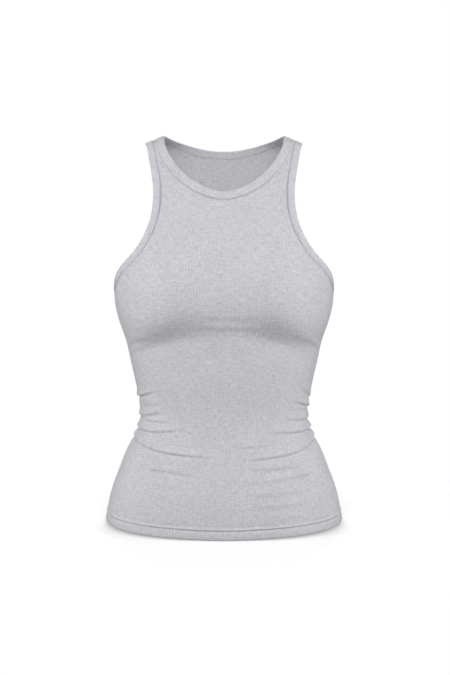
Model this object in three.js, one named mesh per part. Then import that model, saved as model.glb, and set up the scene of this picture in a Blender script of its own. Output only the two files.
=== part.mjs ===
// Fitted rib-knit tank top, size S, filled out as it is worn, with nobody in it.
// Millimetres, +Z up, front towards -Y, wearer's left towards +X.
// The origin lies on the centre line, level with the two shoulder ridges that carry the top.
// Every sewn piece is a thin closed wall laid on one skin: rings round a general figure,
// with soft folds pushed in and out of it at the waist.

import * as THREE from 'three';

// Sewn sizes
const WALL = 1.5;               // knit wall of the front and back
const SEAM_GAP = 0.3;           // between two pieces at a seam
const SHOULDER_SLOPE = 23.5;    // degrees, from the neck edge down to the armhole edge
const SLOPE_START = 68;         // half width where the shoulder begins to slope
const SLOPE_BLEND = 24;         // mm over which the slope comes in
const SLOPE_DEPTH = 90;         // height below the ridge where the slope has died away
const SLOPE_LIFT = 1.3;         // brings the neck edge of the ridge back to the origin's level
const CORNER_FULLNESS = 0.05;   // how much squarer than an ellipse each ring is
const NECK_BINDING_WIDTH = 11.4;
const ARM_BINDING_WIDTH = 11.2;

// Rings down the garment. Depths are at the centre front and the centre back.
const SECTIONS = [
  { height: 0, half: 146, front: 0, back: 0 },
  { height: -4, half: 146, front: 20, back: 32 },
  { height: -12, half: 146, front: 34, back: 52.5 },
  { height: -25, half: 146, front: 46, back: 62.3 },
  { height: -45, half: 146, front: 55, back: 70.5 },
  { height: -70, half: 146, front: 61.3, back: 80 },
  { height: -90, half: 147, front: 67.8, back: 88 },
  { height: -115, half: 148, front: 78, back: 96.8 },
  { height: -150, half: 150, front: 91, back: 103.5 },
  { height: -185, half: 151.3, front: 99.5, back: 106 },
  { height: -203, half: 151.1, front: 101.5, back: 105.5 },
  { height: -222, half: 150.5, front: 101.5, back: 104 },
  { height: -250, half: 144.9, front: 99.5, back: 100 },
  { height: -280, half: 135, front: 96.5, back: 95 },
  { height: -300, half: 130.7, front: 95, back: 91.8 },
  { height: -335, half: 123, front: 92.2, back: 85 },
  { height: -363, half: 118, front: 89.4, back: 80.6 },
  { height: -385, half: 116.8, front: 89.2, back: 80.3 },
  { height: -405, half: 121.6, front: 91, back: 83 },
  { height: -430, half: 134.8, front: 94.6, back: 88.6 },
  { height: -455, half: 145, front: 98.8, back: 96 },
  { height: -480, half: 154.3, front: 102.2, back: 102.4 },
  { height: -508, half: 161.2, front: 104.5, back: 107.8 },
  { height: -535, half: 165.6, front: 106, back: 112 },
];

// Two gentle swells, one each side of the centre front, that run together where the cloth
// bridges them. They droop as they go outwards, and end in a line across below them.
const BUST = {
  height: -204,
  apart: 76,
  across: 45,
  above: 50,
  below: 64,
  droop: 11,                    // at the middle of each swell
  droopEnd: 110,                // half width past which they droop no lower
  swell: 21,
  sideFade: 0.4,
};

// Seam of the neck binding, as a rounded oval seen from the front or the back: its shares of
// the half width and of the drop, each to its own power, add up to one.
const NECK_SEAM = {
  front: { half: 91.5, drop: 87.4, acrossPower: 1.8, dropPower: 1.8 },
  back: { half: 91.5, drop: 28.7, acrossPower: 2.1, dropPower: 1 },
};

// Seam of the armhole binding: degrees from the centre of the panel, at each height.
const ARM_SEAM = {
  front: [
    { angle: 90, height: -214.5 },
    { angle: 76.4, height: -207.5 },
    { angle: 66.7, height: -194.5 },
    { angle: 54.7, height: -177.5 },
    { angle: 45.2, height: -159.8 },
    { angle: 37.9, height: -134.9 },
    { angle: 33.7, height: -104.9 },
    { angle: 33.1, height: -75 },
    { angle: 34.7, height: -45 },
    { angle: 37.2, height: -14 },
    { angle: 39.4, height: 0 },
  ],
  back: [
    { angle: 90, height: -214.5 },
    { angle: 72.4, height: -205 },
    { angle: 61, height: -193 },
    { angle: 51, height: -178 },
    { angle: 43.9, height: -160 },
    { angle: 37.9, height: -135 },
    { angle: 34.6, height: -105 },
    { angle: 33.9, height: -75 },
    { angle: 35.1, height: -45 },
    { angle: 37.4, height: -14 },
    { angle: 39.4, height: 0 },
  ],
};

// Folds drawn in at the waist. Angles run from the centre front, + to the wearer's left, and
// past 90 on the back. The five heights are at equal steps of angle, and rise is the ridge.
const FOLDS = [
  { from: -125, to: -40, heights: [-351, -355, -355.5, -350.2, -339], rise: 1.8 },
  { from: -120, to: -35, heights: [-379, -382, -381.3, -376.4, -367.5], rise: 1.7 },
  { from: -84, to: -36, heights: [-381.5, -383, -384, -383.8, -382], rise: 1 },
  { from: -140, to: -20, heights: [-405, -401, -399, -398, -390], rise: 2 },
  { from: -140, to: 0, heights: [-420, -413, -413.4, -423, -427], rise: 1.8 },
  { from: -46, to: -16, heights: [-445.5, -446, -447.5, -449.5, -451.5], rise: 0.6 },
  { from: 46, to: 125, heights: [-331, -347.5, -357, -360, -358], rise: 0.9 },
  { from: 43, to: 130, heights: [-353, -364.5, -371, -373, -371], rise: 1.8 },
  { from: 38, to: 120, heights: [-378.5, -383.5, -385, -388, -392], rise: 1.6 },
  { from: 26, to: 140, heights: [-395, -399.3, -399.5, -404, -411], rise: 2.3 },
  { from: 5, to: 140, heights: [-431.5, -426, -414.6, -412, -415], rise: 1.9 },
  { from: 140, to: 218, heights: [-372, -376, -377, -375, -371], rise: 1.3 },
  { from: 146, to: 228, heights: [-395, -399, -400, -397, -393], rise: 1.5 },
  { from: 134, to: 208, heights: [-430, -433, -432, -429, -425], rise: 1.2 },
];
const FOLD = { crest: 2.5, above: 7, below: 3, hollow: 0.6, fade: 0.22 };

// The hem is cut a little higher at the sides than in the middle.
const HEM_RISE = { start: -455, centre: -0.2, sides: 5.3, power: 1.3 };

// Turned-up hem, from its stitch groove down: how far the wall stands out and in.
const HEM = [
  { height: -523, out: -0.3, within: 0.2 },
  { height: -525.5, out: 0.25, within: 0.6 },
  { height: -530, out: 0.45, within: 0.7 },
  { height: -533.8, out: 0.25, within: 0.5 },
  { height: -535, out: -0.4, within: -0.2 },
];

// Binding cut across: across is from the seam to the folded edge as a share of its width,
// lift is above the skin.
const BINDING_SECTION = [
  { across: 0, lift: 0.1 },
  { across: 0.1, lift: 0.5 },
  { across: 0.5, lift: 0.6 },
  { across: 0.9, lift: 0.35 },
  { across: 1, lift: -0.75 },
  { across: 0.9, lift: -1.85 },
  { across: 0.5, lift: -2.1 },
  { across: 0, lift: -1.6 },
];

// How finely the pieces are divided
const COLUMNS = 11;             // from the centre line to a side seam
const SIDE_CROWDING = 0.35;     // columns sit closer at the sides
const EDGE_MARGIN = 3;          // degrees kept clear between a column and a panel's edge
const NECK_ROWS = { front: 13, back: 6 };
const CHEST_ROWS = { front: 12, back: 17 };
const SEAM_STEP = 13;           // longest step between two points of a bound edge
const TORSO_BANDS = [
  { from: -214.5, to: -340, rows: 12 },
  { from: -340, to: -455, rows: 23 },
  { from: -455, to: -520, rows: 4 },
];
const SHOULDER_START = 0.19;    // first row of a panel, just off the ridge
const MARCH = 0.95;             // step of a binding's path over the skin
const PROBE = 0.05;             // step for slopes, in mm, degrees or quarters of the neck
const NEAR_ENOUGH = 1e-9;       // mm
const HALVINGS = 50;            // of the range in which a value is looked for
const PAST_END = 2;             // points mirrored past each end of the armhole seam

const CLOTH = { color: 0xc5c5cb, roughness: 0.95, metalness: 0 };

const radians = (degrees) => (degrees * Math.PI) / 180;

function ease(value) {
  const t = Math.min(Math.max(value, 0), 1);
  return t * t * (3 - 2 * t);
}

// Smooth curve through points: a cubic spline, with its starting slope given or left free.
function curveThrough(xs, ys, startSlope) {
  const n = xs.length;
  const step = (i) => xs[i + 1] - xs[i];
  const rise = (i) => (ys[i + 1] - ys[i]) / step(i);
  const upper = new Array(n).fill(0);
  const bend = new Array(n).fill(0);
  if (startSlope !== undefined) {
    upper[0] = 0.5;
    bend[0] = (1.5 / step(0)) * (rise(0) - startSlope);
  }
  for (let i = 1; i < n - 1; i += 1) {
    const pivot = 2 * (step(i - 1) + step(i)) - step(i - 1) * upper[i - 1];
    upper[i] = step(i) / pivot;
    bend[i] = (3 * (rise(i) - rise(i - 1)) - step(i - 1) * bend[i - 1]) / pivot;
  }
  bend[n - 1] = 0;
  for (let i = n - 2; i >= 0; i -= 1) {
    bend[i] -= upper[i] * bend[i + 1];
  }
  return (x) => {
    let i = 0;
    while (i < n - 2 && x > xs[i + 1]) {
      i += 1;
    }
    const t = x - xs[i];
    const slope = rise(i) - (step(i) * (2 * bend[i] + bend[i + 1])) / 3;
    const twist = (bend[i + 1] - bend[i]) / (3 * step(i));
    return ys[i] + t * (slope + t * (bend[i] + t * twist));
  };
}

// Run is the distance down the middle of the skin from the shoulder ridge.
const RUNS = [0];
SECTIONS.slice(1).forEach((section, i) => {
  const above = SECTIONS[i];
  const deeper = (section.front + section.back - above.front - above.back) / 2;
  RUNS.push(RUNS[i] + Math.hypot(section.height - above.height, deeper));
});
const heightAt = curveThrough(RUNS, SECTIONS.map((section) => section.height), 0);
const halfAt = curveThrough(RUNS, SECTIONS.map((section) => section.half), 0);
const frontAt = curveThrough(RUNS, SECTIONS.map((section) => section.front), 1);
const backAt = curveThrough(RUNS, SECTIONS.map((section) => section.back), 1);
const LONGEST_RUN = RUNS[RUNS.length - 1];
const LOWEST = SECTIONS[SECTIONS.length - 1].height;

function bisect(low, high, isPast) {
  let near = low;
  let far = high;
  for (let i = 0; i < HALVINGS; i += 1) {
    const middle = (near + far) / 2;
    if (isPast(middle)) {
      far = middle;
    } else {
      near = middle;
    }
  }
  return (near + far) / 2;
}

const runAt = (height) => bisect(0, LONGEST_RUN, (run) => heightAt(run) < height);

const swellAt = (angle) => 1 + CORNER_FULLNESS * Math.sin(2 * radians(angle)) ** 2;

// Angle from the panel's centre where the ring at this run is so far across.
function angleAt(across, run) {
  const reaches = (angle) => halfAt(run) * Math.sin(radians(angle)) * swellAt(angle) > across;
  return bisect(0, 90, reaches);
}

// A point of the skin. A run below zero lies over the ridge, on the other face.
function skin(angle, run) {
  if (run < 0) {
    return skin(angle > 0 ? 180 - angle : -180 - angle, -run);
  }
  const turn = radians(angle);
  const facing = Math.cos(turn);
  const depth = facing > 0 ? frontAt(run) : backAt(run);
  const x = halfAt(run) * Math.sin(turn) * swellAt(angle);
  let y = -depth * facing * swellAt(angle);
  const level = heightAt(run);
  const across = Math.abs(x);
  const entering = Math.min(Math.max(across - SLOPE_START, 0), SLOPE_BLEND);
  const beyond = Math.max(across - SLOPE_START - SLOPE_BLEND, 0);
  const sloped = (entering * entering) / (2 * SLOPE_BLEND) + beyond;
  const fall = Math.tan(radians(SHOULDER_SLOPE)) * sloped - SLOPE_LIFT;
  const rise = HEM_RISE.centre + HEM_RISE.sides * Math.abs(Math.sin(turn)) ** HEM_RISE.power;
  const nearHem = ease((level - HEM_RISE.start) / (LOWEST - HEM_RISE.start));
  const z = level - fall * ease(1 + level / SLOPE_DEPTH) + rise * nearHem;
  if (facing > 0) {
    const outwards = Math.min(across, BUST.droopEnd) / BUST.apart;
    const off = level - BUST.height + BUST.droop * outwards ** 2;
    const bell = (distance, spread) => Math.exp(-((distance / spread) ** 2) / 2);
    const sides = bell(x - BUST.apart, BUST.across) + bell(x + BUST.apart, BUST.across);
    const below = Math.min(-off / BUST.below, 1);
    const tall = off > 0 ? bell(off, BUST.above) : 1 - below ** 4 * (5 - 4 * below);
    y -= BUST.swell * sides * tall * ease(facing / BUST.sideFade);
  }
  return new THREE.Vector3(x, y, z);
}

// The skin's two slopes and its outward normal at a point.
function skinFrame(angle, run) {
  const around = skin(angle + PROBE, run).sub(skin(angle - PROBE, run)).divideScalar(2 * PROBE);
  const down = skin(angle, run + PROBE).sub(skin(angle, run - PROBE)).divideScalar(2 * PROBE);
  const normal = down.clone().cross(around).normalize();
  return { around, down, normal };
}

// How far the folds push the skin out at an angle and height.
const FOLD_LINES = FOLDS.map((fold) => {
  const step = (fold.to - fold.from) / (fold.heights.length - 1);
  const steps = fold.heights.map((_, i) => fold.from + step * i);
  return { ...fold, lineAt: curveThrough(steps, fold.heights) };
});

function foldLift(angle, height) {
  let lift = 0;
  for (const fold of FOLD_LINES) {
    const turned = fold.to > 180 && angle < 0 ? angle + 360 : angle;
    const along = (turned - fold.from) / (fold.to - fold.from);
    if (along > 0 && along < 1) {
      const strength = fold.rise * ease(along / FOLD.fade) * ease((1 - along) / FOLD.fade);
      const off = height - fold.lineAt(turned);
      const spread = off > FOLD.crest ? FOLD.above : FOLD.below;
      const ridge = Math.exp(-(((off - FOLD.crest) / spread) ** 2));
      const hollow = Math.exp(-(((off + FOLD.crest) / FOLD.below) ** 2));
      lift += strength * (ridge - FOLD.hollow * hollow);
    }
  }
  return lift;
}

const gapBetween = (a, b) => skin(a.angle, a.run).distanceTo(skin(b.angle, b.run));

// Neck seam of one face, from the ridge at 0 to the centre at 1.
function neckCurve(face) {
  const seam = NECK_SEAM[face];
  return (place) => {
    const turn = (place * Math.PI) / 2;
    const run = runAt(-seam.drop * Math.sin(turn) ** (2 / seam.dropPower));
    const across = seam.half * Math.max(Math.cos(turn), 0) ** (2 / seam.acrossPower);
    return { angle: angleAt(across, run), run };
  };
}

// Armhole seam as one loop, from the underarm up the front, over the ridge and down the back.
// Runs on the back are below zero, and the points mirrored past each end keep it level there.
function armLoop() {
  const onFront = ARM_SEAM.front.map(({ angle, height }) => ({ angle, run: runAt(height) }));
  const onBack = ARM_SEAM.back.map(({ angle, height }) => ({ angle, run: -runAt(height) }));
  const past = (point) => ({ angle: 180 - point.angle, run: point.run });
  const points = [
    ...onFront.slice(1, 1 + PAST_END).reverse().map(past),
    ...onFront,
    ...onBack.slice(0, -1).reverse(),
    ...onBack.slice(1, 1 + PAST_END).map(past),
  ];
  const lengths = [0];
  for (let i = 1; i < points.length; i += 1) {
    lengths.push(lengths[i - 1] + gapBetween(points[i - 1], points[i]));
  }
  const angle = curveThrough(lengths, points.map((point) => point.angle));
  const run = curveThrough(lengths, points.map((point) => point.run));
  const start = lengths[PAST_END];
  const ridge = lengths[onFront.length - 1 + PAST_END];
  const end = lengths[lengths.length - 1 - PAST_END];
  return {
    at: (length) => ({ angle: angle(length), run: run(length) }),
    start,
    ridge,
    end,
    lengthAt: {
      front: (depth) => bisect(start, ridge, (length) => run(length) < depth),
      back: (depth) => bisect(ridge, end, (length) => -run(length) > depth),
    },
  };
}

const ARM = armLoop();

// For each row, its own place along a seam and any more that are needed before the next row.
function seamPlaces(curve, rowPlaces) {
  return rowPlaces.map((place, i) => {
    if (i + 1 === rowPlaces.length) {
      return [place];
    }
    const next = rowPlaces[i + 1];
    const count = Math.ceil(gapBetween(curve(place), curve(next)) / SEAM_STEP);
    return Array.from({ length: count }, (_, k) => place + ((next - place) * k) / count);
  });
}

// Rows of one panel from the shoulder ridge to the underarm, with the places where they meet
// the neck seam and the armhole seam.
function upperRows(face) {
  const neck = neckCurve(face);
  const neckRun = neck(1).run;
  const neckRows = NECK_ROWS[face];
  const chestRows = CHEST_ROWS[face];
  const onBack = face === 'back';
  const underarm = Math.abs(ARM.at(ARM.start).run);
  const runs = [];
  for (let i = 0; i <= neckRows; i += 1) {
    runs.push((neckRun * i) / neckRows);
  }
  for (let i = 1; i <= chestRows; i += 1) {
    runs.push(neckRun + ((underarm - neckRun) * i) / chestRows);
  }
  const neckPlaces = runs.slice(0, neckRows + 1).map((run, i) => {
    const inside = bisect(0, 1, (place) => neck(place).run > run);
    return i === 0 || i === neckRows ? i / neckRows : inside;
  });
  const armPlaces = runs.map((run, i) => {
    if (i === 0) {
      return ARM.ridge;
    }
    if (i === runs.length - 1) {
      return onBack ? ARM.end : ARM.start;
    }
    return ARM.lengthAt[face](run);
  });
  return { runs, neck: seamPlaces(neck, neckPlaces), arm: seamPlaces(ARM.at, armPlaces) };
}

const UPPER_ROWS = { front: upperRows('front'), back: upperRows('back') };

// Rows below the underarm, the same on both panels.
function torsoRows() {
  const heights = [];
  for (const band of TORSO_BANDS) {
    for (let i = 1; i <= band.rows; i += 1) {
      heights.push({ height: band.from + ((band.to - band.from) * i) / band.rows });
    }
  }
  return [...heights, ...HEM].map((row) => ({ ...row, run: runAt(row.height) }));
}

// Closes a sheet of outer and inner points into one wall. Faces are corners in outward order.
class Wall {
  constructor() {
    this.points = [];
    this.faces = [];
  }

  // Adds an outer and an inner point and returns the pair's number.
  addPair(outer, inner) {
    this.points.push(outer, inner);
    return this.points.length / 2 - 1;
  }

  toGeometry() {
    const triangles = [];
    const edges = new Map();
    for (const face of this.faces) {
      const [a, b, c] = face.map((pair) => pair * 2);
      triangles.push(a, b, c, c + 1, b + 1, a + 1);
      face.forEach((pair, i) => {
        const next = face[(i + 1) % 3];
        if (!edges.delete(`${next},${pair}`)) {
          edges.set(`${pair},${next}`, [pair * 2, next * 2]);
        }
      });
    }
    for (const [a, b] of edges.values()) {
      triangles.push(b, a, a + 1, b, a + 1, b + 1);
    }
    return bodyGeometry(this.points, triangles);
  }
}

function bodyGeometry(points, triangles) {
  const geometry = new THREE.BufferGeometry();
  const numbers = points.flatMap((point) => [point.x, point.y, point.z]);
  geometry.setAttribute('position', new THREE.Float32BufferAttribute(numbers, 3));
  geometry.setIndex(triangles);
  geometry.computeVertexNormals();
  return geometry;
}

// Columns of a panel, in degrees from its centre line, closer together near the side seam.
const COLUMN_ANGLES = Array.from({ length: COLUMNS }, (_, i) => {
  const share = 1 - i / COLUMNS;
  return 90 * share * (1 + SIDE_CROWDING * (1 - share));
});

// Joins two rows of points into faces, both running from the armhole edge to the centre. The
// armhole edge bites into the panel, so where the upper row starts with more of its points the
// first face keeps inside it.
function stitch(upper, lower, startsInside) {
  const faces = [];
  let i = 0;
  let j = 0;
  while (i + 1 < upper.length || j + 1 < lower.length) {
    const above = upper[i + 1]?.angle ?? -1;
    const below = lower[j + 1]?.angle ?? -1;
    if (below >= above || (startsInside && j === 0)) {
      faces.push([upper[i].pair, lower[j].pair, lower[j + 1].pair]);
      j += 1;
    } else {
      faces.push([upper[i].pair, lower[j].pair, upper[i + 1].pair]);
      i += 1;
    }
  }
  return faces;
}

// Front or back: two halves that share their centre line below the neck.
function panelGeometry(face) {
  const wall = new Wall();
  const seams = UPPER_ROWS[face];
  const neck = neckCurve(face);
  const depthAt = face === 'front' ? frontAt : backAt;
  const sideAngleAt = (run) => 90 - ((SEAM_GAP / 2 / depthAt(run)) * 180) / Math.PI;
  const centrePairs = new Map();
  const addPoint = (side, angle, run, row) => {
    const turned = side * (face === 'front' ? angle : 180 - angle);
    const base = skin(turned, run);
    const { normal } = skinFrame(turned, run);
    const lift = foldLift(turned, heightAt(run));
    const outer = base.clone().addScaledVector(normal, lift + (row.out ?? 0));
    const inner = base.clone().addScaledVector(normal, lift - WALL - (row.within ?? 0));
    return { angle, pair: wall.addPair(outer, inner) };
  };
  const addCentre = (run, row) => {
    if (!centrePairs.has(run)) {
      centrePairs.set(run, addPoint(1, 0, run, row));
    }
    return centrePairs.get(run);
  };
  const addRow = (side, run, armAngle, neckAngle, row) => {
    const edge = Math.min(armAngle, sideAngleAt(run));
    const isInside = (angle) => angle < edge - EDGE_MARGIN && angle > neckAngle + EDGE_MARGIN;
    const inside = COLUMN_ANGLES.filter(isInside).map((angle) => addPoint(side, angle, run, row));
    const last = neckAngle > 0 ? addPoint(side, neckAngle, run, row) : addCentre(run, row);
    return [addPoint(side, edge, run, row), ...inside, last];
  };
  for (const side of [-1, 1]) {
    const rows = seams.runs.map((run, r) => {
      const armAngle = ARM.at(seams.arm[r][0]).angle;
      const neckAngle = r < NECK_ROWS[face] ? neck(seams.neck[r][0]).angle : 0;
      return addRow(side, Math.max(run, SHOULDER_START), armAngle, neckAngle, {});
    });
    const tops = rows.map((row, r) => {
      const onSeam = (curve) => (place) => {
        const { angle, run } = curve(place);
        return addPoint(side, angle, Math.abs(run), {});
      };
      const armPoints = seams.arm[r].slice(1).map(onSeam(ARM.at)).reverse();
      const neckPoints = (seams.neck[r] ?? []).slice(1).map(onSeam(neck));
      return [...armPoints, ...row, ...neckPoints];
    });
    for (const row of torsoRows()) {
      rows.push(addRow(side, row.run, 90, 0, row));
      tops.push(rows[rows.length - 1]);
    }
    const isTurned = side > 0 === (face === 'front');
    for (let r = 0; r + 1 < rows.length; r += 1) {
      const faces = stitch(tops[r], rows[r + 1], tops[r][0] !== rows[r][0]);
      wall.faces.push(...(isTurned ? faces.map((corners) => corners.reverse()) : faces));
    }
  }
  return wall.toGeometry();
}

// Walks over the skin from a seam, square to it, and returns the skin's point and normal at
// each distance asked for.
function walk(curve, place, towards, distances) {
  const start = curve(place);
  let { angle, run } = start;
  const ahead = curve(place + PROBE);
  const behind = curve(place - PROBE);
  const along = skin(ahead.angle, ahead.run).sub(skin(behind.angle, behind.run)).normalize();
  const heading = along.cross(skinFrame(angle, run).normal).multiplyScalar(towards);
  const stops = [];
  let walked = 0;
  for (const distance of distances) {
    while (walked < distance - NEAR_ENOUGH) {
      const step = Math.min(MARCH, distance - walked);
      const { around, down, normal } = skinFrame(angle, run);
      heading.addScaledVector(normal, -heading.dot(normal)).normalize();
      const [aa, ad, dd] = [around.dot(around), around.dot(down), down.dot(down)];
      const [ah, dh] = [around.dot(heading), down.dot(heading)];
      const spread = aa * dd - ad * ad;
      angle += (step * (ah * dd - dh * ad)) / spread;
      run += (step * (dh * aa - ah * ad)) / spread;
      walked += step;
    }
    stops.push({ point: skin(angle, run), normal: skinFrame(angle, run).normal });
  }
  return stops;
}

// A binding: its section carried all round a seam that closes on itself.
function bindingGeometry(curve, places, towards, width) {
  const reach = (across) => SEAM_GAP + across * (width - SEAM_GAP);
  const order = BINDING_SECTION.map(({ across }) => across);
  const distances = [...new Set(order)].sort((a, b) => a - b);
  const count = BINDING_SECTION.length;
  const points = [];
  for (const place of places) {
    const stops = walk(curve, place, towards, distances.map(reach));
    for (const { across, lift } of BINDING_SECTION) {
      const { point, normal } = stops[distances.indexOf(across)];
      points.push(point.clone().addScaledVector(normal, lift));
    }
  }
  const triangles = [];
  for (let i = 0; i < places.length; i += 1) {
    const next = (i + 1) % places.length;
    for (let k = 0; k < count; k += 1) {
      const after = (k + 1) % count;
      const [a, b] = [i * count + k, i * count + after];
      const [c, d] = [next * count + after, next * count + k];
      triangles.push(...(towards > 0 ? [a, b, c, a, c, d] : [a, c, b, a, d, c]));
    }
  }
  return bodyGeometry(points, triangles);
}

// Neck seam all round, as a loop of place 0 to 4: the front from the wearer's left ridge to the
// centre and on to the right ridge, then the back to its centre and home.
function neckLoop(place) {
  const turn = ((place % 4) + 4) % 4;
  const face = turn < 2 ? 'front' : 'back';
  const within = turn % 1;
  const onLeft = turn < 1 || turn >= 3;
  const toCentre = face === 'front' ? onLeft : !onLeft;
  const { angle, run } = neckCurve(face)(toCentre ? within : 1 - within);
  const side = onLeft ? 1 : -1;
  return { angle: side * (face === 'front' ? angle : 180 - angle), run };
}

function neckBinding() {
  const front = UPPER_ROWS.front.neck.flat();
  const back = UPPER_ROWS.back.neck.flat();
  const places = [
    ...front.slice(0, -1),
    ...front.slice(1).reverse().map((place) => 2 - place),
    ...back.slice(0, -1).map((place) => 2 + place),
    ...back.slice(1).reverse().map((place) => 4 - place),
  ];
  return bindingGeometry(neckLoop, places, 1, NECK_BINDING_WIDTH);
}

// Side is 1 for the wearer's left armhole and -1 for the right.
function armBinding(side) {
  const front = UPPER_ROWS.front.arm.flat();
  const back = UPPER_ROWS.back.arm.flat();
  const places = [...front.slice().reverse(), ...back.slice(1, -1)];
  const curve = (length) => {
    const { angle, run } = ARM.at(length);
    return { angle: side * angle, run };
  };
  return bindingGeometry(curve, places, side, ARM_BINDING_WIDTH);
}

function piece(name, geometry) {
  const mesh = new THREE.Mesh(geometry, new THREE.MeshStandardMaterial(CLOTH));
  mesh.name = name;
  return mesh;
}

const tankTop = new THREE.Group();
tankTop.add(piece('front', panelGeometry('front')));
tankTop.add(piece('back', panelGeometry('back')));
tankTop.add(piece('neck_binding', neckBinding()));
tankTop.add(piece('armhole_binding_left', armBinding(1)));
tankTop.add(piece('armhole_binding_right', armBinding(-1)));

export default tankTop;
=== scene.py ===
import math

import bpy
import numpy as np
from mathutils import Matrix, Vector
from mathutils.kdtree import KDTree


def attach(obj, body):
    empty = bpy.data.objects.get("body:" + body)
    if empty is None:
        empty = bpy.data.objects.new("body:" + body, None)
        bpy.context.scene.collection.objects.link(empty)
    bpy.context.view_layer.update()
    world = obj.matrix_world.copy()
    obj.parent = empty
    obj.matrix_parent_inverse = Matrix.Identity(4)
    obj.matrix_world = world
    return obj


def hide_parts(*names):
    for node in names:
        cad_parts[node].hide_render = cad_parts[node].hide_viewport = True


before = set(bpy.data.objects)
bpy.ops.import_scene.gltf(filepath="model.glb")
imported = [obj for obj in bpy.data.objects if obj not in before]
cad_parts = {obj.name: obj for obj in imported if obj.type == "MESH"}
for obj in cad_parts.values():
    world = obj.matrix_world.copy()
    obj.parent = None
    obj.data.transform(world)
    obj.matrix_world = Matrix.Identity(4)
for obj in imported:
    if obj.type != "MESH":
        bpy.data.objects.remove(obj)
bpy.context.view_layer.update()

# Looks of a fitted rib-knit tank top, filled out as it is worn, with nobody in it.
# The cloth is worked out in millimetres and made in metres, +Z up, front towards -Y, wearer's
# left towards +X. Angles are degrees from the centre front, run is the way down the cloth from
# the shoulder ridge.

METRES = 0.001                  # metres in a millimetre

# Sewn sizes
WALL = 1.5
SEAM_GAP = 0.3
SHOULDER_SLOPE = 23.5           # degrees, from the neck edge down to the armhole edge
SLOPE_START = 68
SLOPE_BLEND = 24
SLOPE_DEPTH = 90
SLOPE_LIFT = 1.3
CORNER_FULLNESS = 0.05
NECK_BINDING_WIDTH = 11.4
ARM_BINDING_WIDTH = 11.2
UNDERARM = -214.5               # height of the armhole seam's lowest point

# Rings down the garment: height, half width, depth at the centre front and centre back
SECTIONS = np.array([
    (0, 146, 0, 0),
    (-4, 146, 20, 32),
    (-12, 146, 34, 52.5),
    (-25, 146, 46, 62.3),
    (-45, 146, 55, 70.5),
    (-70, 146, 61.3, 80),
    (-90, 147, 67.8, 88),
    (-115, 148, 78, 96.8),
    (-150, 150, 91, 103.5),
    (-185, 151.3, 99.5, 106),
    (-203, 151.1, 101.5, 105.5),
    (-222, 150.5, 101.5, 104),
    (-250, 144.9, 99.5, 100),
    (-280, 135, 96.5, 95),
    (-300, 130.7, 95, 91.8),
    (-335, 123, 92.2, 85),
    (-363, 118, 89.4, 80.6),
    (-385, 116.8, 89.2, 80.3),
    (-405, 121.6, 91, 83),
    (-430, 134.8, 94.6, 88.6),
    (-455, 145, 98.8, 96),
    (-480, 154.3, 102.2, 102.4),
    (-508, 161.2, 104.5, 107.8),
    (-535, 165.6, 106, 112),
])
HEIGHTS, HALVES, FRONTS, BACKS = SECTIONS.T

# Two gentle swells of the front that run together where the cloth bridges them. They droop
# as they go outwards, and end in a line across below them.
BUST_HEIGHT = -204
BUST_APART = 76
BUST_ACROSS = 45
BUST_ABOVE = 50
BUST_BELOW = 64
BUST_DROOP = 11                 # at the middle of each swell
BUST_DROOP_END = 110            # half width past which they droop no lower
BUST_SWELL = 21
BUST_SIDE_FADE = 0.4

# Neck seam as a rounded oval: half width, drop, and the powers of the shares of each that add
# up to one
NECK_SEAM = {"front": (91.5, 87.4, 1.8, 1.8), "back": (91.5, 28.7, 2.1, 1)}

# Armhole seam: degrees from the centre of the panel, and height
ARM_SEAM = {
    "front": np.array([
        (90, -214.5), (76.4, -207.5), (66.7, -194.5), (54.7, -177.5), (45.2, -159.8),
        (37.9, -134.9), (33.7, -104.9), (33.1, -75), (34.7, -45), (37.2, -14), (39.4, 0),
    ]),
    "back": np.array([
        (90, -214.5), (72.4, -205), (61, -193), (51, -178), (43.9, -160), (37.9, -135),
        (34.6, -105), (33.9, -75), (35.1, -45), (37.4, -14), (39.4, 0),
    ]),
}

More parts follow.
